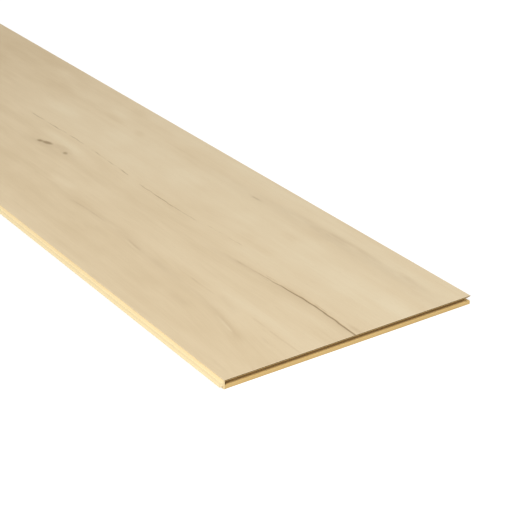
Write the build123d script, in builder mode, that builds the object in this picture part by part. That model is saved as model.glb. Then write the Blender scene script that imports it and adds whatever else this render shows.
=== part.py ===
from build123d import *
import os
from math import sqrt

# A laminate floor plank with a tongue or a groove milled along each of its four edges.
# The decor face is up, the length runs along X and the origin is under the middle of that face.

# Face of the plank, from joint to joint
face_length = 1380.0
face_width = 244.0
thickness = 8.0

# Upper edge, measured down from the decor face
arris = 0.25
land_depth = 0.85

# Tongue: a sloping root, a flat top and a round bead that hangs below the neck
tongue_reach = 4.5
tongue_top_depth = 2.55
root_run = 1.6
bead_radius = 1.3
lock_bite = 0.45

# Groove: the tongue's own outline, opened by the clearance, over a lower lip that stands just back
fit_clearance = 0.1
lip_setback = 0.2
lip_lead_in = 0.4

# Ends of the cross profiles: the wall that stops the end groove, and the play of the end tongue
groove_stop = 0.8
end_play = 0.3

# Heights above the underside, and places across the joint
root_height = thickness - land_depth
tongue_top = thickness - tongue_top_depth
bead_height = tongue_top - bead_radius
neck_height = bead_height - bead_radius + lock_bite
bead_center = tongue_reach - bead_radius
neck_end = bead_center - sqrt(lock_bite * (2 * bead_radius - lock_bite))
groove_depth = tongue_reach + fit_clearance
lip_crest = neck_height - fit_clearance

# Section of the tongue: x runs out of the joint and y is the height above the underside
with BuildSketch() as tongue_section:
    with BuildLine():
        Polyline((0, neck_height), (0, root_height), (root_run, tongue_top), (bead_center, tongue_top))
        ThreePointArc((bead_center, tongue_top), (tongue_reach, bead_height), (neck_end, neck_height))
        Line((neck_end, neck_height), (0, neck_height))
    make_face()

# Section of what the groove takes away, seen from the same side as the tongue that enters it
with BuildSketch() as groove_section:
    add(tongue_section.sketch)
    offset(amount=fit_clearance, kind=Kind.INTERSECTION, mode=Mode.REPLACE)
    with BuildLine():
        Polyline(
            (0, 0),
            (lip_setback, 0),
            (lip_setback, lip_crest - lip_lead_in),
            (lip_setback + lip_lead_in, lip_crest),
            (lip_setback + lip_lead_in, neck_height),
            (0, neck_height),
            close=True,
        )
    make_face()

# Planes across the joints: every tongue points to -X or -Y, so each edge pair shares a direction
half_length = face_length / 2
half_width = face_width / 2
end_groove_start = groove_stop - half_width
end_groove_length = face_width - groove_stop
end_tongue_start = end_groove_start + end_play
end_tongue_length = end_groove_length - groove_depth - 2 * end_play
long_tongue_plane = Plane((half_length, -half_width, 0), x_dir=(0, -1, 0), z_dir=(-1, 0, 0))
long_groove_plane = Plane((half_length, half_width, 0), x_dir=(0, -1, 0), z_dir=(-1, 0, 0))
end_tongue_plane = Plane((-half_length, end_tongue_start, 0), x_dir=(-1, 0, 0), z_dir=(0, 1, 0))
end_groove_plane = Plane((half_length, end_groove_start, 0), x_dir=(-1, 0, 0), z_dir=(0, 1, 0))

with BuildPart() as plank:
    # Blank of the plank, sawn to its face size
    with BuildSketch():
        Rectangle(face_length, face_width)
    extrude(amount=thickness)

    # Tongue along the whole left edge
    with BuildSketch(long_tongue_plane):
        add(tongue_section.sketch)
    extrude(amount=face_length)

    # Tongue on the far end, cut back where the next row's tongue passes
    with BuildSketch(end_tongue_plane):
        add(tongue_section.sketch)
    extrude(amount=end_tongue_length)

    # Groove along the whole right edge
    with BuildSketch(long_groove_plane):
        add(groove_section.sketch)
    extrude(amount=face_length, mode=Mode.SUBTRACT)

    # Groove in the near end, stopped short of the tongue so that its end stays whole
    with BuildSketch(end_groove_plane):
        add(groove_section.sketch)
    extrude(amount=end_groove_length, mode=Mode.SUBTRACT)

    # Broken corner round the decor face
    chamfer(plank.faces().sort_by(Axis.Z)[-1].edges(), length=arris)

plank.part.label = "plank"

os.makedirs("parts", exist_ok=True)
export_step(plank.part, "parts/plank.step")
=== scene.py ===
import math

import bmesh
import bpy
import numpy as np
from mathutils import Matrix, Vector

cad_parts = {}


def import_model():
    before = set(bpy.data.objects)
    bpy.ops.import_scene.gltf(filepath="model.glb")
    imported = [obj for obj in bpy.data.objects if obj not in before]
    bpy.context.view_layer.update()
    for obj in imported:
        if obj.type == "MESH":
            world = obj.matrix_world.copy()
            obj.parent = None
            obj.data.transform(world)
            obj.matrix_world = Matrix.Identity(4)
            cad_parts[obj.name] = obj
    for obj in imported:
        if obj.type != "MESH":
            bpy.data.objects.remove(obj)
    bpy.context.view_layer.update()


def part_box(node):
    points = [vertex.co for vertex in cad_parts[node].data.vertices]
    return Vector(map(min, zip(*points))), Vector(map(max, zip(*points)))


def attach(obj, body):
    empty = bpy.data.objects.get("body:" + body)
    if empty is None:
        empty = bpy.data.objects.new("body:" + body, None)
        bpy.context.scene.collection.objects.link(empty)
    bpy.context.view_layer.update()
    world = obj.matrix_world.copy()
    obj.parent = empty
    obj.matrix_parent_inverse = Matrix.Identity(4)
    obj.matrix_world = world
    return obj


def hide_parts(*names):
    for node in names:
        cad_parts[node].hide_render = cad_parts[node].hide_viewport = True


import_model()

# A laminate floor plank: one closed mesh that stands for the solid, with its milled edges, the relief of
# its decor face, and node materials for the decor, the raw fibreboard and the backing.

MM = 0.001

# Sizes of the solid, read from the frame: the face, the thickness and the reach of the tongues
plank_low, plank_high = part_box("plank")
HALF_LENGTH = plank_high.x
HALF_WIDTH = plank_high.y
THICKNESS = plank_high.z
TONGUE_REACH = -plank_low.y - HALF_WIDTH

# Section of the joint, as in the solid
ARRIS = 0.25 * MM
LAND_DEPTH = 0.85 * MM
TONGUE_TOP_DEPTH = 2.55 * MM
ROOT_RUN = 1.6 * MM
BEAD_RADIUS = 1.3 * MM
LOCK_BITE = 0.45 * MM
FIT_CLEARANCE = 0.1 * MM
LIP_SETBACK = 0.2 * MM
LIP_LEAD_IN = 0.4 * MM
GROOVE_STOP = 0.8 * MM
END_PLAY = 0.3 * MM

# Heights above the underside, and places across the joint and along the near end
RIM_HEIGHT = THICKNESS - ARRIS
ROOT_HEIGHT = THICKNESS - LAND_DEPTH
TONGUE_TOP = THICKNESS - TONGUE_TOP_DEPTH
BEAD_HEIGHT = TONGUE_TOP - BEAD_RADIUS
NECK_HEIGHT = BEAD_HEIGHT - BEAD_RADIUS + LOCK_BITE
BEAD_CENTER = TONGUE_REACH - BEAD_RADIUS
ROOT_SLOPE = (ROOT_HEIGHT - TONGUE_TOP) / ROOT_RUN
LIP_CREST = NECK_HEIGHT - FIT_CLEARANCE
END_GROOVE_START = GROOVE_STOP - HALF_WIDTH

# Mesh of the edges: points on the bead's upper and lower arc, and how far the tools overlap the blank
UPPER_BEAD_POINTS = 14
LOWER_BEAD_POINTS = 18
TOOL_OVERLAP = 0.3 * MM

# Tests on the mesh: the gap within which places are the same, how much of its normal a face has along the
# axis that it faces, the least lean that tells an end's face from a side's, and the degrees of a sharp edge
CLOSE = 0.01 * MM
FACING = 0.99
LEAST_LEAN = 0.1
SHARP_ANGLE = 32

# Material slots of the mesh, and the sockets that a Mix node has for colours
DECOR_SLOT, TONGUE_SLOT, GROOVE_SLOT, BACKING_SLOT = range(4)
MIX_SHARE, MIX_FIRST, MIX_SECOND = 0, 6, 7
MIX_RESULT = 2

# Decor face, in mm: s runs from the grooved end to the far end, t from the tongued edge across the face
FACE_LENGTH = 2 * HALF_LENGTH / MM
FACE_WIDTH = 2 * HALF_WIDTH / MM

# Grid of the face, in mm: its steps, and where it is finer, as (place, reach, step)
ROW_STEP = 5.5
COLUMN_STEP = 1.15
FINE_ROWS = [(0.0, 190.0, 3.2), (488.0, 36.0, 2.6)]
FINE_COLUMNS = [(54.0, 2.4, 0.45), (72.0, 2.0, 0.45), (120.0, 2.8, 0.34), (137.0, 2.2, 0.34)]

# Relief of the face, in mm, and how dark the painted shade on the broken corner round it is
CRACK_DEPTH = 0.26
KNOT_DEPTH = 0.1
STREAK_DEPTH = 0.05
DEEPEST_RELIEF = 0.9 * ARRIS / MM
RIM_SHADE = 0.3

# Wander of a crack: its scale in mm, and its waves as (mm for each radian, weight, phase)
CRACK_WANDER = 0.2
WANDER_WAVES = [(3.7, 1.0, 0.0), (2.3, 0.7, 1.3)]

# Grain lines: where each lies on straight-grained wood, and the (s, t) points that it really passes
GRAIN_LINES = [
    (54.0, [
        (0, 36), (46, 45), (84, 53), (128, 59), (192, 60), (268, 64.5), (355, 62), (444, 64), (620, 60),
        (860, 56), (1100, 58), (1380, 55),
    ]),
    (72.0, [
        (0, 71), (66, 73), (108, 72), (156, 69.6), (270, 73), (400, 72), (620, 74), (900, 70), (1380, 72),
    ]),
    (100.0, [(0, 100), (360, 100), (430, 99), (490, 96), (550, 98), (700, 101), (1380, 98)]),
    (120.0, [
        (0, 123.6), (26, 125), (56, 126), (76, 125.4), (96, 124), (120, 122), (140, 120.6), (160, 119),
        (178, 117.6), (300, 113), (420, 114), (490, 117), (560, 115), (800, 118), (1100, 121), (1380, 119),
    ]),
    (137.0, [
        (0, 143), (120, 142), (184, 140), (206, 138.6), (238, 137), (254, 133.6), (292, 132.6), (330, 133),
        (354, 132.6), (380, 135), (396, 136.4), (446, 137), (500, 137.6), (540, 135.6), (588, 134.4),
        (700, 136), (900, 140), (1150, 137), (1380, 139),
    ]),
    (190.0, [(0, 190), (400, 192), (800, 187), (1380, 191)]),
]

# Cracks of the decor: points (s, t, strength) and half width in mm
CRACKS = [
    ([
        (0, 123.6, 1.0), (26, 125, 0.95), (56, 126, 1.0), (76, 125.4, 0.95), (96, 124, 0.8),
        (108, 123, 0.65), (120, 122, 0.46), (140, 120.6, 0.34), (154, 119.5, 0.32), (161, 119, 0.3),
        (166, 118.6, 0.0),
    ], 1.0),
    ([(40, 127.8, 0.0), (45, 128, 0.5), (58, 128.2, 0.5), (64, 128, 0.0)], 0.55),
    ([(84, 127, 0.0), (89, 126.8, 0.4), (101, 126, 0.4), (106, 125.6, 0.0)], 0.5),
    ([(106, 125.8, 0.0), (111, 125.4, 0.5), (124, 124.4, 0.45), (129, 124, 0.0)], 0.5),
    ([(112, 120.2, 0.0), (116, 120, 0.4), (124, 119.4, 0.4), (128, 119.2, 0.0)], 0.5),
    ([(182, 140, 0.0), (186, 139.9, 0.5), (206, 138.6, 0.42), (209, 138.4, 0.0)], 0.45),
    ([(213, 138.2, 0.0), (217, 138, 0.45), (237, 137, 0.45), (241, 136.6, 0.0)], 0.45),
    ([
        (248, 134.6, 0.0), (254, 133.6, 0.5), (280, 132.8, 0.45), (292, 132.6, 0.65), (318, 132.6, 0.7),
        (330, 133, 0.5), (352, 132.6, 0.6), (357, 132.8, 0.0),
    ], 0.7),
    ([
        (376, 134.6, 0.0), (381, 135, 0.5), (392, 136, 0.66), (399, 136.4, 0.3), (408, 136.3, 0.3),
        (416, 136.2, 0.56), (424, 136.4, 0.3), (438, 136.8, 0.3), (446, 137, 0.66), (454, 137.2, 0.26),
        (472, 137.4, 0.22), (480, 137.5, 0.5), (500, 137.6, 0.62), (506, 137.4, 0.3), (520, 137, 0.4),
        (536, 135.8, 0.66), (546, 135.4, 0.56), (554, 135.3, 0.26), (560, 135.2, 0.3), (568, 135, 0.58),
        (586, 134.4, 0.55), (592, 134.3, 0.0),
    ], 0.85),
]

# Soft brown streaks of the decor: points (s, t, strength), half width in mm, and that of the far side if
# it is another
STREAKS = [
    ([(0, 121, 0.3), (60, 122, 0.35), (110, 119, 0.4), (170, 115.5, 0.3), (230, 113, 0.0)], 4.5),
    ([
        (0, 123.6, 0.5), (56, 126, 0.5), (96, 124, 0.5), (120, 122, 0.5), (150, 119.8, 0.45),
        (158, 119, 0.85), (164, 118.6, 0.7), (172, 118, 0.4), (185, 117, 0.0),
    ], 2.2),
    ([(0, 129.5, 0.8), (10, 129.5, 0.9), (20, 129, 0.0)], 2.0),
    ([
        (42, 44, 0.0), (50, 45.5, 0.35), (62, 48.4, 0.35), (80, 51.5, 0.4), (95, 54, 0.2), (110, 56, 0.1),
        (126, 58, 0.4), (142, 58.8, 0.4), (150, 59, 0.1), (165, 60, 0.1), (180, 60, 0.0),
    ], 1.4),
    ([
        (38, 42, 0.0), (52, 45, 0.5), (62, 47.5, 0.3), (84, 52.5, 0.5), (106, 56, 0.45), (130, 57, 0.25),
        (150, 58, 0.25), (185, 59, 0.55), (200, 60, 0.65), (222, 60, 0.45), (250, 63, 0.5), (266, 65, 0.4),
        (300, 63.6, 0.4), (340, 63.4, 0.35), (370, 63, 0.2), (400, 64, 0.0),
    ], 4.8),
    ([(80, 66, 0.0), (90, 67, 0.35), (112, 71, 0.35), (120, 73, 0.0)], 3.5),
    ([(112, 40, 0.0), (122, 40, 0.35), (138, 41, 0.35), (150, 42, 0.0)], 4.0),
    ([(226, 60, 0.0), (232, 60.2, 0.7), (248, 62, 0.7), (256, 63, 0.0)], 0.9),
    ([
        (292, 63.8, 0.0), (300, 63.6, 0.9), (320, 63.6, 0.9), (328, 63.6, 0.3), (338, 63, 1.0),
        (353, 61.6, 1.2), (357, 61.4, 0.0),
    ], 0.75),
    ([
        (388, 65.6, 0.0), (396, 65.6, 0.3), (410, 65.6, 0.3), (428, 64.2, 0.2), (438, 64, 0.4),
        (446, 64, 0.0),
    ], 1.2),
    ([
        (3, 71.2, 0.6), (20, 71.4, 0.85), (42, 71.6, 0.85), (46, 71.8, 0.1), (57, 72.6, 0.6),
        (66, 72.6, 0.6), (70, 72.6, 0.1), (118, 69.4, 0.15), (124, 69.2, 0.6), (138, 69, 0.3),
        (148, 69.2, 0.9), (156, 69.4, 0.9), (160, 69.6, 0.0),
    ], 0.75),
    ([(24, 59.2, 0.0), (28, 59.4, 0.45), (37, 60, 0.45), (41, 60.2, 0.0)], 0.9),
    ([(8, 9, 0.0), (14, 9, 0.4), (30, 9.6, 0.4), (36, 9.8, 0.0)], 1.0),
    ([
        (0, 215, 0.3), (30, 217, 0.5), (52, 219, 0.7), (80, 217, 0.6), (110, 218.5, 0.75),
        (160, 218.5, 0.85), (200, 217, 0.6), (240, 215, 0.4), (300, 212, 0.25), (420, 214, 0.0),
    ], 13.0, 4.5),
    ([
        (40, 220.5, 0.0), (55, 221, 0.25), (70, 221, 0.1), (95, 221, 0.05), (115, 221.5, 0.15),
        (140, 221, 0.12), (165, 219, 0.1), (185, 219, 0.0),
    ], 2.6),
    ([(238, 207.8, 0.0), (252, 207.4, 0.45), (260, 207.2, 0.9), (268, 207, 0.95), (274, 206.8, 0.0)], 2.0),
    ([
        (260, 104, 0.0), (300, 104, 0.15), (350, 103, 0.1), (420, 104, 0.15), (470, 108, 0.2),
        (540, 104, 0.0),
    ], 7.0),
]

# Knots of the decor and the shades round them: centre (s, t), half length, half width, tilt in degrees and
# strength
KNOTS = [
    (500.5, 108.3, 8.8, 3.2, -17.0, 0.85),
    (510.0, 105.0, 5.0, 2.8, -14.0, 0.8),
    (464.5, 110.4, 4.8, 3.2, 14.0, 0.62),
    (262.0, 207.2, 9.0, 1.5, -3.0, 0.42),
]
KNOT_SHADES = [
    (503.0, 104.5, 26.0, 8.0, -12.0, 0.75),
    (466.0, 111.0, 14.0, 6.0, 8.0, 0.8),
    (474.0, 106.0, 34.0, 9.0, -4.0, 0.45),
    (480.0, 113.4, 17.0, 4.6, -4.0, 1.0),
]

# Broad light and dark parts of the decor: points (s, t, strength) and half width in mm
TONES = [
    ([(0, 40, -0.35), (200, 42, -0.4), (420, 44, -0.45), (700, 40, -0.2), (1380, 40, 0.0)], 26.0),
    ([
        (0, 82, 0.25), (100, 79, 0.2), (340, 76, 0.1), (375, 75.4, 0.2), (388, 74, 0.6), (410, 74, 0.6),
        (430, 74, 0.1), (700, 78, 0.05), (1380, 80, 0.0),
    ], 6.0),
    ([(57, 45.6, 0.0), (63, 46.6, 0.9), (75, 48.6, 0.8), (85, 50.4, 0.6), (91, 51.4, 0.0)], 0.9),
    ([(226, 58, 0.0), (232, 58, 0.6), (247, 59.4, 0.6), (253, 60, 0.0)], 0.9),
    ([(0, 172, 0.5), (120, 174, 0.45), (300, 172, 0.35), (600, 165, 0.2), (900, 165, 0.0)], 24.0),
    ([(440, 123, 0.0), (470, 124, 0.35), (520, 123, 0.35), (560, 120, 0.0)], 5.0),
    ([(0, 226, 0.35), (300, 224, 0.35), (500, 222, 0.15), (700, 222, 0.0)], 26.0),
    ([(420, 150, 0.0), (600, 150, -0.25), (800, 160, -0.9), (1000, 160, -0.7), (1380, 150, -0.4)], 130.0),
    ([
        (0, 124, -0.1), (200, 116, -0.15), (300, 110, -0.2), (500, 104, -0.2), (800, 110, -0.15),
        (1380, 112, -0.1),
    ], 14.0),
]

# Soft light and dark patches of the decor: centre (s, t), half length, half width, tilt in degrees and
# strength
PATCHES = [
    (24.0, 181.0, 18.0, 12.0, 0.0, 0.12),
    (34.0, 157.0, 24.0, 8.0, 0.0, -0.2),
    (72.0, 165.0, 14.0, 7.0, 0.0, 0.12),
    (147.0, 187.0, 15.0, 13.0, 0.0, 0.2),
    (168.0, 150.0, 16.0, 6.0, -8.0, -0.3),
    (196.0, 152.0, 13.0, 8.0, 0.0, -0.3),
    (176.0, 184.0, 12.0, 5.0, 6.0, -0.3),
    (232.0, 177.0, 14.0, 9.0, 0.0, 0.3),
    (345.0, 177.0, 26.0, 15.0, 4.0, 0.35),
    (371.0, 211.0, 40.0, 15.0, 0.0, -0.35),
    (472.0, 172.0, 24.0, 14.0, 4.0, 0.35),
    (468.0, 199.0, 10.0, 5.0, 8.0, -0.4),
    (530.0, 215.0, 24.0, 10.0, 4.0, 0.35),
    (522.0, 201.0, 22.0, 6.0, 6.0, -0.35),
    (519.0, 229.0, 18.0, 8.0, 6.0, -0.3),
    (576.0, 170.0, 28.0, 12.0, 0.0, 0.35),
    (640.0, 196.0, 34.0, 11.0, 4.0, -0.35),
    (668.0, 222.0, 30.0, 8.0, 4.0, 0.35),
]

# Painted light on the long tongue's top and bead: where it sets in and thins out, in mm out of the joint
PAINTED_LIGHT_STARTS = (0.9, 1.8)
PAINTED_LIGHT_THINS = (3.0, 4.0)

# Hollow of a groove: where painted shade darkens it, in mm into the groove and over the underside
HOLLOW_DEPTHS = (0.8, 4.4)
HOLLOW_HEIGHTS = (3.1, 4.0)

# Lines on the milled edges, in mm: where the dark one, painted shade on the land under the decor, sets in,
# over the root's top and past the start of the end groove, and where the faint one of paper ends, over the
# underside
LAND_SHADE_STARTS = (0.05, 0.2)
LAND_SHADE_SIDE_STARTS = (-0.2, 0.1)
BACKING_ENDS = (0.18, 0.34)

# Map for baking: its size and margin in pixels, its scales in pixels per metre, and the parts of the decor
MAP_SIZE = 1024
MAP_MARGIN = 5
DECOR_SCALE = 1420
UNDERSIDE_SCALE = 720
EDGE_SCALE = 1800
DECOR_PARTS = 4
PARTS_IN_ROW = 2

# Room on the map, in metres: for the broken corner, drawn wider there, and for rows at the end of a part
RIM_SPREAD = 1.2 * MM
ROW_SPREAD = 3 * MM

# Studio: half the floor's side and its drop, how white it and the backdrop show, and the light all round
FLOOR_HALF = 6.0
FLOOR_DROP = 0.2 * MM
FLOOR_GREY = (0.8, 0.8, 0.8, 1)
FLOOR_WHITE = 0.5
WHITE = (1, 1, 1, 1)
WORLD_STRENGTH = 0.5
BACKDROP_WHITE = 0.9

# Soft box, in metres and watts
KEY_PLACE = (2.0, -1.7, 1.6)
KEY_TARGET = (0.4, 0, 0)
KEY_SIZE = 1.8
KEY_WATTS = 62.0

# Camera: its place in metres, its angles in degrees and its lens in mm
CAMERA_PLACE = (1.50896, -0.64789, 0.59114)
CAMERA_DOWN = 26.23
CAMERA_HEADING = 55.88
SENSOR_WIDTH = 36.0
FOCAL_LENGTH = 106.26


def srgb(*levels):
    """A colour given in sRGB as it shows on a screen, from 0 to 255, as Blender's linear one."""
    shares = [level / 255 for level in levels]
    linear = [c / 12.92 if c <= 0.04045 else ((c + 0.055) / 1.055) ** 2.4 for c in shares]
    return (*linear, 1.0)


# Colours of the decor, from dark to pale board, and of what is on it
OAK_SHADES = [
    (0.0, srgb(202, 176, 135)),
    (0.3, srgb(218, 195, 156)),
    (0.55, srgb(229, 208, 171)),
    (0.8, srgb(235, 217, 182)),
    (1.0, srgb(240, 224, 191)),
]
PORE_BROWN = srgb(176, 148, 110)
STREAK_BROWN = srgb(176, 146, 106)
KNOT_BROWN = srgb(136, 110, 70)
CRACK_BROWN = srgb(110, 80, 40)
# Painted shade: the brown that darkens the broken corner round the decor
RIM_SHADE_BROWN = srgb(116, 86, 44)

# Colours of the raw fibreboard, from dark to pale, and of what is on it
# Painted light and shade: one board, in a lighter lit copy for the tongues and a darker shaded copy for the
# grooves
LIT_TONGUE_COLOURS = [(0.2, srgb(220, 192, 138)), (0.55, srgb(236, 213, 165)), (0.85, srgb(243, 222, 176))]
SHADED_GROOVE_COLOURS = [(0.2, srgb(194, 156, 92)), (0.55, srgb(213, 182, 122)), (0.85, srgb(223, 194, 138))]
# Painted light on the long tongue
TONGUE_PAINTED_LIGHT = srgb(244, 225, 180)
# Painted shade deep in a groove
HOLLOW_SHADE_BROWN = srgb(112, 62, 6)
# Painted shade on the land under the decor
LAND_SHADE_BROWN = srgb(62, 38, 6)
BACKING_BROWN = srgb(158, 128, 80)

# Colours of the backing, from dark to pale
BACKING_SHADES = [(0.25, srgb(158, 132, 96)), (0.5, srgb(173, 147, 110)), (0.75, srgb(186, 161, 124))]


# Decor face


def curve_through(points):
    """s, and the values at it, of a smooth curve through given points, in mm."""
    sample_step = 2.0
    margin = 40.0
    window_reach = 8
    points = np.array(points, float)
    s = np.arange(points[0, 0] - margin, points[-1, 0] + margin, sample_step)
    window = np.hanning(2 * window_reach + 1)
    window /= window.sum()
    values = [np.interp(s, points[:, 0], column) for column in points[:, 1:].T]
    smooth = [np.convolve(np.pad(v, window_reach, mode="edge"), window, mode="valid") for v in values]
    return s, smooth


def band(s, t, points, half_width, far_width=None, wander=0.0):
    """Strength at s, t of a band along given points, which may be sharper on its far side and wander."""
    at, (centre, _) = curve_through(points)
    points = np.array(points, float)
    strength = np.interp(s, points[:, 0], points[:, 2], left=0, right=0)
    waves = sum(weight * np.sin(s / length + phase) for length, weight, phase in WANDER_WAVES)
    middle = np.interp(s, at, centre) + wander * waves
    width = np.where(t > middle, far_width or half_width, half_width)
    return strength * np.exp(-((t - middle) / width) ** 2)


def spot(s, t, centre_s, centre_t, half_length, half_width, tilt, strength):
    """Strength at s, t of an oval spot with a soft edge."""
    edge_power = 1.5
    turn = math.radians(tilt)
    along = (s - centre_s) * math.cos(turn) + (t - centre_t) * math.sin(turn)
    across = (t - centre_t) * math.cos(turn) - (s - centre_s) * math.sin(turn)
    return strength * np.exp(-((along / half_length) ** 2 + (across / half_width) ** 2) ** edge_power)


def spaced(start, stop, step, finer):
    """Places from start to stop, step apart, and closer round each (place, reach, step) of finer."""
    samples = 6000
    edge_power = 4
    place = np.linspace(start, stop, samples)
    density = np.full_like(place, 1 / step)
    for centre, reach, fine_step in finer:
        density += (1 / fine_step - 1 / step) * np.exp(-((place - centre) / reach) ** edge_power)
    count = np.concatenate([[0], np.cumsum((density[1:] + density[:-1]) / 2 * np.diff(place))])
    return np.interp(np.linspace(0, count[-1], round(count[-1]) + 1), count, place)


class Decor:
    """The decor face's grid of vertices: rows across the plank, and columns that follow the grain."""

    def __init__(self):
        inset = ARRIS / MM
        rows = spaced(inset, FACE_LENGTH - inset, ROW_STEP, FINE_ROWS)
        columns = spaced(0, FACE_WIDTH, COLUMN_STEP, FINE_COLUMNS)
        straight = [0.0, *[place for place, _ in GRAIN_LINES], FACE_WIDTH]
        lines = [curve_through(points) for _, points in GRAIN_LINES]
        t = np.empty((len(rows), len(columns)))
        for i, row in enumerate(rows):
            passed = [np.interp(row, at, values[0]) for at, values in lines]
            t[i] = np.interp(columns, straight, [0.0, *passed, FACE_WIDTH])
        t = inset + t * (FACE_WIDTH - 2 * inset) / FACE_WIDTH
        s = np.repeat(rows[:, None], len(columns), 1)
        self.s = s
        self.t = t
        self.grain = np.repeat(columns[None], len(rows), 0)
        streaks = np.clip(np.sum([band(s, t, *streak) for streak in STREAKS], axis=0), 0, 1)
        shades = np.max([spot(s, t, *shade) for shade in KNOT_SHADES], axis=0)
        tones = np.sum([band(s, t, *tone) for tone in TONES], axis=0)
        patches = np.sum([spot(s, t, *patch) for patch in PATCHES], axis=0)
        self.marks = {
            "crack": np.max([band(s, t, *crack, wander=CRACK_WANDER) for crack in CRACKS], axis=0),
            "streak": np.maximum(streaks, shades),
            "knot": np.max([spot(s, t, *knot) for knot in KNOTS], axis=0),
            "tone": tones + patches,
        }

    def places(self):
        """Places of the vertices in metres."""
        marks = self.marks
        depth = CRACK_DEPTH * marks["crack"] + KNOT_DEPTH * marks["knot"] + STREAK_DEPTH * marks["streak"]
        depth = np.minimum(depth, DEEPEST_RELIEF) * MM
        return np.stack([HALF_LENGTH - self.s * MM, self.t * MM - HALF_WIDTH, THICKNESS - depth], -1)


# Milled blank


def joint_outline(clearance):
    """(out of the joint, height) points round a tongue, from its root's top to the underside of its neck."""
    top = TONGUE_TOP + clearance
    neck = NECK_HEIGHT - clearance
    radius = BEAD_RADIUS + clearance
    root = ROOT_HEIGHT + clearance * math.hypot(1, ROOT_SLOPE)
    last = math.asin((BEAD_HEIGHT - neck) / radius) - math.pi
    # Two arcs meet at the bead's furthest point, which then is a vertex
    angles = np.concatenate([
        np.linspace(math.pi / 2, 0, UPPER_BEAD_POINTS),
        np.linspace(0, last, LOWER_BEAD_POINTS)[1:],
    ])
    bead = [(BEAD_CENTER + radius * math.cos(a), BEAD_HEIGHT + radius * math.sin(a)) for a in angles]
    return [(0, root), ((root - top) / ROOT_SLOPE, top), *bead]


def groove_outline():
    """(into the joint, height) points up the groove's lower lip and round to the top of its mouth."""
    lip = [
        (LIP_SETBACK, 0),
        (LIP_SETBACK, LIP_CREST - LIP_LEAD_IN),
        (LIP_SETBACK + LIP_LEAD_IN, LIP_CREST),
    ]
    return [*lip, *joint_outline(FIT_CLEARANCE)[::-1]]


def long_section():
    """(y, z) points of the section across the plank below its broken corner."""
    tongue = [(-HALF_WIDTH - out, z) for out, z in joint_outline(0)]
    groove = [(HALF_WIDTH - into, z) for into, z in groove_outline()]
    return [
        (-HALF_WIDTH, RIM_HEIGHT),
        *tongue,
        (-HALF_WIDTH, NECK_HEIGHT),
        (-HALF_WIDTH, 0),
        *groove,
        (HALF_WIDTH, RIM_HEIGHT),
    ]


def prism(name, start_ring, stop_ring):
    """A closed mesh object between two like rings of points."""
    count = len(start_ring)
    faces = [list(range(count)), list(range(2 * count - 1, count - 1, -1))]
    for i in range(count):
        j = (i + 1) % count
        faces.append([j, i, i + count, j + count])
    mesh = bpy.data.meshes.new(name)
    mesh.from_pydata([*start_ring, *stop_ring], [], faces)
    outward = bmesh.new()
    outward.from_mesh(mesh)
    bmesh.ops.recalc_face_normals(outward, faces=outward.faces)
    outward.to_mesh(mesh)
    outward.free()
    piece = bpy.data.objects.new(name, mesh)
    bpy.context.scene.collection.objects.link(piece)
    return piece


def combine(piece, tool, operation):
    """Adds the tool to the piece or takes it away, and removes the tool."""
    modifier = piece.modifiers.new(operation, "BOOLEAN")
    modifier.operation = operation
    modifier.solver = "EXACT"
    modifier.object = tool
    graph = bpy.context.evaluated_depsgraph_get()
    mesh = bpy.data.meshes.new_from_object(piece.evaluated_get(graph))
    piece.modifiers.clear()
    piece.data = mesh
    bpy.data.objects.remove(tool)


def milled_blank():
    """The plank below its broken corner, with a tongue or a groove along each edge."""
    section = long_section()
    blank = prism(
        "plank_surface",
        [(HALF_LENGTH, y, z) for y, z in section],
        [(-HALF_LENGTH, y, z) for y, z in section],
    )

    # Groove in the near end, stopped short of the tongued edge and open at the other
    groove = groove_outline()
    groove = [
        (-TOOL_OVERLAP, -TOOL_OVERLAP),
        (LIP_SETBACK, -TOOL_OVERLAP),
        *groove[1:-1],
        (-TOOL_OVERLAP, groove[-1][1] + TOOL_OVERLAP * ROOT_SLOPE),
    ]
    groove_end = HALF_WIDTH + TOOL_OVERLAP
    tool = prism(
        "end_groove",
        [(HALF_LENGTH - into, END_GROOVE_START, z) for into, z in groove],
        [(HALF_LENGTH - into, groove_end, z) for into, z in groove],
    )
    combine(blank, tool, "DIFFERENCE")

    # Tongue on the far end, cut back where the next row's tongue passes
    tongue = [
        (-TOOL_OVERLAP, ROOT_HEIGHT + TOOL_OVERLAP * ROOT_SLOPE),
        *joint_outline(0)[1:],
        (-TOOL_OVERLAP, NECK_HEIGHT),
    ]
    tongue_start = END_GROOVE_START + END_PLAY
    tongue_end = HALF_WIDTH - TONGUE_REACH - FIT_CLEARANCE - END_PLAY
    tool = prism(
        "end_tongue",
        [(-HALF_LENGTH - out, tongue_start, z) for out, z in tongue],
        [(-HALF_LENGTH - out, tongue_end, z) for out, z in tongue],
    )
    combine(blank, tool, "UNION")
    return blank


# Decor on the blank


def on_line(edge, places):
    """True if both ends of the edge are in line with these places."""
    direction = (places[-1] - places[0]).normalized()
    return all((v.co - places[0]).cross(direction).length < CLOSE for v in edge.verts)


def split_edge(edge, places):
    """Puts vertices at these places on a straight edge, and returns all of its vertices in order."""
    first, last = sorted(edge.verts, key=lambda v: (v.co - places[0]).length)
    found = [first]
    for place in places:
        length = (last.co - found[-1].co).length
        share = (place - found[-1].co).length / length
        _, vertex = bmesh.utils.edge_split(edge, found[-1], share)
        vertex.co = place
        found.append(vertex)
        edge = next(e for e in vertex.link_edges if last in e.verts)
    return [*found, last]


def decor_face(bm, corners):
    """Adds a smooth face of the decor."""
    face = bm.faces.new(corners)
    face.material_index = DECOR_SLOT
    face.smooth = True


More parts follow.
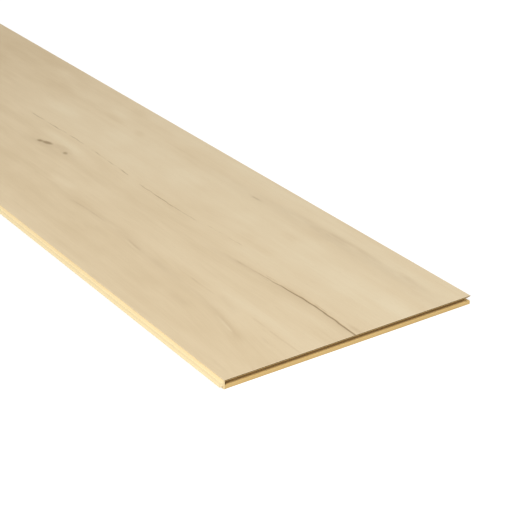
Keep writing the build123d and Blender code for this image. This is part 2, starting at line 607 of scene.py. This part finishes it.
def add_decor(piece, decor):
    """Puts the decor's grid on the milled blank, with the broken corner round it."""
    bm = bmesh.new()
    bm.from_mesh(piece.data)
    layers = {name: bm.verts.layers.float.new(name) for name in decor.marks}
    rim_shade_layer = bm.verts.layers.float.new("rim")
    grain_layer = bm.verts.layers.float_vector.new("grain")

    # The flat top of the blank makes way for the grid
    top = [f for f in bm.faces if all(abs(v.co.z - RIM_HEIGHT) < CLOSE for v in f.verts)]
    rim_edges = [e for f in top for e in f.edges]
    bmesh.ops.delete(bm, geom=top, context="FACES_ONLY")

    vertices = []
    for i, places in enumerate(decor.places()):
        row = []
        for j, place in enumerate(places):
            v = bm.verts.new(place)
            v[grain_layer] = (decor.s[i, j], decor.grain[i, j], 0)
            for name, layer in layers.items():
                v[layer] = decor.marks[name][i, j]
            row.append(v)
        vertices.append(row)
    for upper, lower in zip(vertices, vertices[1:]):
        for j in range(len(upper) - 1):
            decor_face(bm, (upper[j], lower[j], lower[j + 1], upper[j + 1]))

    # Broken corner: each side of the grid is joined to like points of the blank's upper edge
    sides = [
        (vertices[0], lambda v: (HALF_LENGTH, v.co.y, RIM_HEIGHT)),
        (vertices[-1], lambda v: (-HALF_LENGTH, v.co.y, RIM_HEIGHT)),
        ([row[0] for row in vertices], lambda v: (v.co.x, -HALF_WIDTH, RIM_HEIGHT)),
        ([row[-1] for row in vertices], lambda v: (v.co.x, HALF_WIDTH, RIM_HEIGHT)),
    ]
    for border, below in sides:
        places = [Vector(below(v)) for v in border]
        edge = next(e for e in rim_edges if e.is_valid and on_line(e, places))
        rim = split_edge(edge, places[1:-1])
        for v, upper in zip(rim, border):
            # Painted shade: the broken corner darkens towards the blank's edge
            v[rim_shade_layer] = RIM_SHADE
            v[grain_layer] = upper[grain_layer]
        for j in range(len(rim) - 1):
            decor_face(bm, (border[j], border[j + 1], rim[j + 1], rim[j]))
    bmesh.ops.recalc_face_normals(bm, faces=bm.faces)
    bm.to_mesh(piece.data)
    bm.free()


# Map for baking


def arc_length(outline, place):
    """How far along an outline the point of it that is nearest to a place lies."""
    points = np.array(outline)
    spans = np.diff(points, axis=0)
    lengths = np.hypot(*spans.T)
    share = np.clip(((np.array(place) - points[:-1]) * spans).sum(1) / lengths**2, 0, 1)
    gaps = np.hypot(*(points[:-1] + share[:, None] * spans - place).T)
    nearest = gaps.argmin()
    return lengths[:nearest].sum() + share[nearest] * lengths[nearest]


class BakeMap:
    """Places in pixels on a square map of decor, underside, unrolled edges and flat ends."""

    def __init__(self, mesh):
        self.mesh = mesh
        self.tongue = [(0, RIM_HEIGHT), *joint_outline(0), (0, NECK_HEIGHT), (0, 0)]
        self.groove = [(0, RIM_HEIGHT), *groove_outline()[::-1]]
        self.part_length = 2 * HALF_LENGTH / DECOR_PARTS
        decor_row = 2 * (HALF_WIDTH + RIM_SPREAD) * DECOR_SCALE
        underside_row = 2 * HALF_WIDTH * UNDERSIDE_SCALE
        tongue_row = arc_length(self.tongue, self.tongue[-1]) * EDGE_SCALE
        groove_row = arc_length(self.groove, self.groove[-1]) * EDGE_SCALE
        heights = np.array([decor_row, decor_row, underside_row, tongue_row, groove_row, groove_row])
        starts = MAP_MARGIN + np.concatenate([[0], np.cumsum(heights + MAP_MARGIN)])
        self.decor_rows = starts[:2]
        self.underside_row, self.tongue_row, self.groove_row, self.end_row, self.cap_row = starts[2:]
        end_step = (plank_high.y - plank_low.y) * EDGE_SCALE + MAP_MARGIN
        self.second_start = MAP_MARGIN + end_step
        self.wall_start = self.second_start + end_step

    def way(self, face):
        """The function that gives the map place of a face's corners."""
        centre = face.center
        across, along = abs(face.normal.x), abs(face.normal.y)
        if face.material_index == DECOR_SLOT:
            return self.on_decor
        if face.material_index == BACKING_SLOT:
            return self.on_underside
        if across > FACING and abs(abs(centre.x) - HALF_LENGTH) < CLOSE:
            return self.on_cap
        if along > FACING and (centre.x < -HALF_LENGTH or abs(centre.y - END_GROOVE_START) < CLOSE):
            return self.on_wall
        if abs(across - along) < LEAST_LEAN:
            spread = np.ptp([self.mesh.vertices[v].co for v in face.vertices], axis=0)
            across, along = spread[1], spread[0]
        return self.on_long_edge if along > across else self.on_end

    def on_decor(self, face, place):
        """A place in the face's part of the decor, with the broken corner spread out."""
        x, y = place.x, place.y
        if abs(x) > HALF_LENGTH - CLOSE:
            x += math.copysign(RIM_SPREAD, x)
        if abs(y) > HALF_WIDTH - CLOSE:
            y += math.copysign(RIM_SPREAD, y)
        part = min(int((face.center.x + HALF_LENGTH) / self.part_length), DECOR_PARTS - 1)
        row, column = divmod(part, PARTS_IN_ROW)
        step = (self.part_length + 2 * ROW_SPREAD) * DECOR_SCALE + MAP_MARGIN
        from_start = x + HALF_LENGTH - part * self.part_length + ROW_SPREAD
        return (
            MAP_MARGIN + column * step + from_start * DECOR_SCALE,
            self.decor_rows[row] + (y + HALF_WIDTH + RIM_SPREAD) * DECOR_SCALE,
        )

    def on_underside(self, face, place):
        """A place on the underside, as it lies."""
        return (
            MAP_MARGIN + (place.x + HALF_LENGTH) * UNDERSIDE_SCALE,
            self.underside_row + (place.y + HALF_WIDTH) * UNDERSIDE_SCALE,
        )

    def on_long_edge(self, face, place):
        """A place on the unrolled tongue or groove of a long edge."""
        if place.y < 0:
            start = self.tongue_row
            unrolled = arc_length(self.tongue, (-HALF_WIDTH - place.y, place.z))
        else:
            start = self.groove_row
            unrolled = arc_length(self.groove, (HALF_WIDTH - place.y, place.z))
        return MAP_MARGIN + (place.x + HALF_LENGTH) * UNDERSIDE_SCALE, start + unrolled * EDGE_SCALE

    def on_end(self, face, place):
        """A place on the unrolled tongue or groove of an end."""
        if place.x < 0:
            start = self.second_start
            unrolled = arc_length(self.tongue, (-HALF_LENGTH - place.x, place.z))
        else:
            start = MAP_MARGIN
            unrolled = arc_length(self.groove, (HALF_LENGTH - place.x, place.z))
        return start + (place.y + HALF_WIDTH) * EDGE_SCALE, self.end_row + unrolled * EDGE_SCALE

    def on_cap(self, face, place):
        """A place on the flat of an end."""
        start = self.second_start if place.x < 0 else MAP_MARGIN
        return start + (place.y - plank_low.y) * EDGE_SCALE, self.cap_row + place.z * EDGE_SCALE

    def on_wall(self, face, place):
        """A place on the wall that stops the end groove, or on an end of the end tongue."""
        step = TONGUE_REACH * EDGE_SCALE + 2 * MAP_MARGIN
        number = 0 if place.x > 0 else 1 + (place.y > 0)
        from_end = abs(abs(place.x) - HALF_LENGTH)
        return self.wall_start + number * step + from_end * EDGE_SCALE, self.end_row + place.z * EDGE_SCALE


def add_bake_map(mesh):
    """Gives the mesh the map that its materials are baked on."""
    bake_map = BakeMap(mesh)
    layer = mesh.uv_layers.new(name="OFBake")
    for face in mesh.polygons:
        way = bake_map.way(face)
        for corner, vertex in zip(face.loop_indices, face.vertices):
            u, v = way(face, mesh.vertices[vertex].co)
            layer.uv[corner].vector = (u / MAP_SIZE, v / MAP_SIZE)


# Materials


class Nodes:
    """Short ways to add and link the nodes of a material or a world."""

    def __init__(self, owner):
        owner.use_nodes = True
        self.owner = owner
        self.tree = owner.node_tree

    def put(self, socket, value):
        """Links an output to the socket, or sets the socket to a constant."""
        if isinstance(value, bpy.types.NodeSocket):
            self.tree.links.new(value, socket)
        else:
            socket.default_value = value

    def fill(self, node, inputs):
        """Gives a node its inputs, each by the socket's name or number."""
        for socket, value in inputs.items():
            self.put(node.inputs[socket], value)

    def add(self, kind, inputs=(), **settings):
        """A new node with these settings and inputs."""
        node = self.tree.nodes.new(kind)
        for name, value in settings.items():
            setattr(node, name, value)
        self.fill(node, dict(inputs))
        return node

    def shade(self, inputs):
        """Gives the material's own shader its inputs."""
        self.fill(self.tree.nodes["Principled BSDF"], inputs)

    def attribute(self, name, output="Fac"):
        return self.add("ShaderNodeAttribute", attribute_name=name).outputs[output]

    def math(self, operation, *values):
        return self.add("ShaderNodeMath", enumerate(values), operation=operation).outputs[0]

    def weighted(self, *terms):
        """The sum of (value, weight) terms, each value times its weight."""
        total, *rest = [self.math("MULTIPLY", value, weight) for value, weight in terms]
        for part in rest:
            total = self.math("ADD", total, part)
        return total

    def swing(self, noise, weight):
        """Noise from 0 to 1, moved to lie round zero and weighted."""
        return self.math("MULTIPLY", self.math("SUBTRACT", noise, 0.5), weight)

    def scaled(self, vector, scale):
        return self.add("ShaderNodeVectorMath", {0: vector, 1: scale}, operation="MULTIPLY").outputs[0]

    def place(self):
        """Where a point lies in the plank's frame, in mm."""
        return self.scaled(self.add("ShaderNodeTexCoord").outputs["Object"], (1 / MM, 1 / MM, 1 / MM))

    def noise(self, vector, sizes, detail=2.0, roughness=0.5, distortion=0.0):
        """Soft noise from 0 to 1 whose grains have these sizes along the vector's axes."""
        sockets = {
            "Vector": self.scaled(vector, tuple(1 / size for size in sizes)),
            "Scale": 1.0,
            "Detail": detail,
            "Roughness": roughness,
            "Distortion": distortion,
        }
        return self.add("ShaderNodeTexNoise", sockets).outputs["Fac"]

    def between(self, value, low, high, to=(0.0, 1.0), smooth=True):
        """The value moved from low..high to another range, and held there."""
        kind = "SMOOTHSTEP" if smooth else "LINEAR"
        sockets = {"Value": value, "From Min": low, "From Max": high, "To Min": to[0], "To Max": to[1]}
        return self.add("ShaderNodeMapRange", sockets, interpolation_type=kind).outputs["Result"]

    def mix(self, share, first, second):
        """A colour between two others."""
        sockets = {MIX_SHARE: share, MIX_FIRST: first, MIX_SECOND: second}
        return self.add("ShaderNodeMix", sockets, data_type="RGBA").outputs[MIX_RESULT]

    def tint(self, colour, mask, other, share):
        """The colour, with a share of the other one where the mask is 1."""
        return self.mix(self.math("MULTIPLY", mask, share), colour, other)

    def ramp(self, value, stops):
        """The colour at a value from 0 to 1, between (value, colour) stops."""
        node = self.add("ShaderNodeValToRGB", {"Fac": value})
        elements = node.color_ramp.elements
        while len(elements) < len(stops):
            elements.new(0.5)
        for element, (place, colour) in zip(elements, stops):
            element.position = place
            element.color = colour
        return node.outputs["Color"]

    def bump(self, height, distance, strength=1.0):
        sockets = {"Height": height, "Distance": distance, "Strength": strength}
        return self.add("ShaderNodeBump", sockets).outputs["Normal"]


def decor_material():
    """Satin print of a pale oak board, with pores and fibres that follow the grain."""
    n = Nodes(bpy.data.materials.new("pale_oak_decor"))
    grain = n.attribute("grain", "Vector")

    def grain_noise(along, across, **settings):
        return n.noise(grain, (along, across, 1), **settings)

    clouds = grain_noise(along=420, across=46)
    bands = grain_noise(along=170, across=10, detail=3)
    blotches = grain_noise(along=64, across=19)
    smudges = grain_noise(along=34, across=8)
    fibres = grain_noise(along=110, across=2.4, detail=3, roughness=0.6)
    hairs = grain_noise(along=26, across=0.6)
    pores = grain_noise(along=11, across=0.42, detail=1)
    ragged = n.swing(grain_noise(along=9, across=0.8, detail=3), 0.7)

    # Lightness of the board: its middle, the listed tones, and noise round them
    middle_light = 0.55
    tone_weight = 0.34
    light = n.math("MULTIPLY_ADD", n.attribute("tone"), tone_weight, middle_light)
    for layer, weight in ((clouds, 0.42), (bands, 0.22), (blotches, 0.3), (fibres, 0.22), (hairs, 0.18)):
        light = n.math("ADD", light, n.swing(layer, weight))
    board = n.ramp(light, OAK_SHADES)

    # Pores, more of them in the paler bands
    pore = n.math("MULTIPLY", n.between(pores, 0.66, 0.76), n.between(bands, 0.4, 0.7, to=(0.25, 0.8)))
    board = n.tint(board, pore, PORE_BROWN, share=0.35)

    # Listed marks, broken up by noise
    streak = n.math("MULTIPLY", n.attribute("streak"), n.between(fibres, 0.25, 0.7, to=(0.6, 1.0)))
    streak = n.math("MULTIPLY", streak, n.between(smudges, 0.3, 0.62, to=(0.6, 1.05)))
    board = n.tint(board, streak, STREAK_BROWN, share=0.36)
    knot = n.between(n.weighted((n.attribute("knot"), 1.0), (ragged, 0.5)), 0.12, 0.85)
    board = n.tint(board, knot, KNOT_BROWN, share=0.7)
    crack = n.between(n.math("ADD", n.attribute("crack"), ragged), 0.12, 0.95)
    board = n.tint(board, crack, CRACK_BROWN, share=0.62)
    # Painted shade on the broken corner round the face
    board = n.mix(n.attribute("rim"), board, RIM_SHADE_BROWN)

    n.shade({
        "Base Color": board,
        "Roughness": n.weighted((n.between(fibres, 0.2, 0.8, to=(0.56, 0.68)), 1.0), (crack, 0.25)),
        "Specular IOR Level": 0.35,
        "Normal": n.bump(n.weighted((hairs, 0.35), (pore, -0.8)), distance=0.05 * MM),
    })
    return n.owner


def core_material(name, shades, gloss, painted_light=None, deep=None):
    """Raw milled fibreboard: short flat fibres, with painted light on the long tongue or painted shade deep
    in a groove.
    """
    n = Nodes(bpy.data.materials.new(name))
    place = n.place()
    x, y, height = n.add("ShaderNodeSeparateXYZ", {0: place}).outputs
    flakes = n.noise(place, (1.5, 1.5, 0.24), detail=3, roughness=0.65)
    specks = n.noise(place, (0.3, 0.3, 0.22))
    patches = n.noise(place, (38, 38, 3))

    # The board is pressed denser, and so is a little darker, towards its two faces
    middle = THICKNESS / MM / 2
    loose_part = 0.35
    from_middle = n.math("ABSOLUTE", n.math("SUBTRACT", height, middle))
    dense = n.between(from_middle, loose_part * middle, middle)
    board = n.ramp(n.weighted((flakes, 0.6), (specks, 0.3), (patches, 0.25), (dense, -0.08)), shades)
    # Painted light: the long tongue's top and bead are lightened, evening out their shade
    if painted_light:
        reach = n.math("SUBTRACT", -HALF_WIDTH / MM, y)
        painted_light_share = n.math("MULTIPLY", n.between(reach, *PAINTED_LIGHT_STARTS), n.between(reach, *PAINTED_LIGHT_THINS, to=(1.0, 0.3)))
        board = n.tint(board, painted_light_share, painted_light, share=0.9)
    # Painted shade deep in the groove, stronger higher up in it
    if deep:
        to_end = n.math("SUBTRACT", HALF_LENGTH / MM, x)
        to_side = n.math("SUBTRACT", HALF_WIDTH / MM, y)
        inward = n.between(n.math("MINIMUM", to_end, to_side), *HOLLOW_DEPTHS)
        upward = n.between(height, *HOLLOW_HEIGHTS, to=(0.56, 1.0))
        board = n.mix(n.math("MULTIPLY", inward, upward), board, deep)

    # Painted shade: a thin dark line on the land under the decor, except along the long tongue; resin-soaked
    # paper shows as a faint line over the backing
    under_decor = n.between(height, *[ROOT_HEIGHT / MM + above for above in LAND_SHADE_STARTS])
    off_long_tongue = n.between(y, *[END_GROOVE_START / MM + past for past in LAND_SHADE_SIDE_STARTS])
    board = n.mix(n.math("MULTIPLY", under_decor, off_long_tongue), board, LAND_SHADE_BROWN)
    over_backing = n.between(height, *BACKING_ENDS, to=(1.0, 0.0))
    board = n.tint(board, over_backing, BACKING_BROWN, share=0.4)

    n.shade({
        "Base Color": board,
        "Roughness": 0.85,
        "Specular IOR Level": gloss,
        "Normal": n.bump(n.weighted((flakes, 1.0), (specks, 0.5)), distance=0.08 * MM, strength=0.7),
    })
    return n.owner


def backing_material():
    """Plain balancing paper on the underside, with soft clouds and short fibres."""
    n = Nodes(bpy.data.materials.new("backing_paper"))
    place = n.place()
    clouds = n.noise(place, (70, 40, 20), detail=3)
    fibres = n.noise(place, (5, 0.8, 1), distortion=0.6)
    n.shade({
        "Base Color": n.ramp(n.weighted((clouds, 0.6), (fibres, 0.4)), BACKING_SHADES),
        "Roughness": n.between(clouds, 0.2, 0.8, to=(0.55, 0.68)),
        "Normal": n.bump(fibres, distance=0.03 * MM, strength=0.6),
    })
    return n.owner


# Plank


def in_groove(face):
    """True for a face of the end groove or the long groove, within a groove's depth of its edge."""
    depth = TONGUE_REACH + 2 * FIT_CLEARANCE
    from_end = HALF_LENGTH - face.center.x
    from_side = HALF_WIDTH - face.center.y
    return CLOSE < from_end < depth or from_side < depth


def plank():
    """The whole plank in place of the solid."""
    piece = milled_blank()
    for f in piece.data.polygons:
        underside = f.normal.z < -FACING and f.center.z < CLOSE
        edge_slot = GROOVE_SLOT if in_groove(f) else TONGUE_SLOT
        f.material_index = BACKING_SLOT if underside else edge_slot
        f.use_smooth = True
    add_decor(piece, Decor())
    piece.data.set_sharp_from_angle(angle=math.radians(SHARP_ANGLE))
    add_bake_map(piece.data)
    materials = (
        decor_material(),
        # Painted light and shade: the tongue's board is a lit copy and the groove's a shaded copy
        core_material("milled_tongue_lit", LIT_TONGUE_COLOURS, gloss=0.28, painted_light=TONGUE_PAINTED_LIGHT),
        core_material("milled_groove_shaded", SHADED_GROOVE_COLOURS, gloss=0.06, deep=HOLLOW_SHADE_BROWN),
        backing_material(),
    )
    for material in materials:
        piece.data.materials.append(material)
    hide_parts("plank")
    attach(piece, "root")


# Studio


def seen_rays(n):
    """1 for the rays that show a thing to the camera, directly or in gloss or glass, and 0 for others."""
    path = n.add("ShaderNodeLightPath").outputs
    seen = path["Is Camera Ray"]
    for name in ("Is Glossy Ray", "Is Transmission Ray"):
        seen = n.math("MAXIMUM", seen, path[name])
    return seen


def floor():
    """A plain white floor that keeps a soft shadow."""
    mesh = bpy.data.meshes.new("floor")
    corners = [(-1, -1), (1, -1), (1, 1), (-1, 1)]
    mesh.from_pydata([(x * FLOOR_HALF, y * FLOOR_HALF, -FLOOR_DROP) for x, y in corners], [], [(0, 1, 2, 3)])
    piece = bpy.data.objects.new("floor", mesh)
    bpy.context.scene.collection.objects.link(piece)
    n = Nodes(bpy.data.materials.new("white_floor"))
    n.tree.nodes.clear()
    diffuse = n.add("ShaderNodeBsdfDiffuse", {"Color": FLOOR_GREY})
    glow = n.add("ShaderNodeEmission", {"Strength": n.math("MULTIPLY", seen_rays(n), FLOOR_WHITE)})
    both = n.add("ShaderNodeAddShader", {0: diffuse.outputs[0], 1: glow.outputs[0]})
    n.add("ShaderNodeOutputMaterial", {"Surface": both.outputs[0]})
    mesh.materials.append(n.owner)


def world():
    """Even white light from all round, and a backdrop as pale as the far floor."""
    n = Nodes(bpy.data.worlds.new("studio"))
    strength = n.between(seen_rays(n), 0, 1, to=(WORLD_STRENGTH, BACKDROP_WHITE), smooth=False)
    n.fill(n.tree.nodes["Background"], {"Color": WHITE, "Strength": strength})
    bpy.context.scene.world = n.owner


def soft_box(name, place, target, size, watts):
    """A square lamp that points at a target."""
    lamp = bpy.data.lights.new(name, "AREA")
    lamp.size = size
    lamp.energy = watts
    piece = bpy.data.objects.new(name, lamp)
    piece.location = place
    direction = Vector(target) - piece.location
    piece.rotation_euler = direction.to_track_quat("-Z", "Y").to_euler()
    bpy.context.scene.collection.objects.link(piece)


def camera():
    """The photograph's view: down on the near end, across the tongued edge."""
    lens = bpy.data.cameras.new("camera")
    lens.sensor_width = SENSOR_WIDTH
    lens.lens = FOCAL_LENGTH
    piece = bpy.data.objects.new("camera", lens)
    piece.location = CAMERA_PLACE
    piece.rotation_euler = (math.radians(90 - CAMERA_DOWN), 0, math.radians(CAMERA_HEADING))
    bpy.context.scene.collection.objects.link(piece)
    bpy.context.scene.camera = piece


plank()
floor()
world()
soft_box("key_soft_box", KEY_PLACE, KEY_TARGET, KEY_SIZE, KEY_WATTS)
camera()
bpy.context.scene.view_settings.view_transform = "Standard"
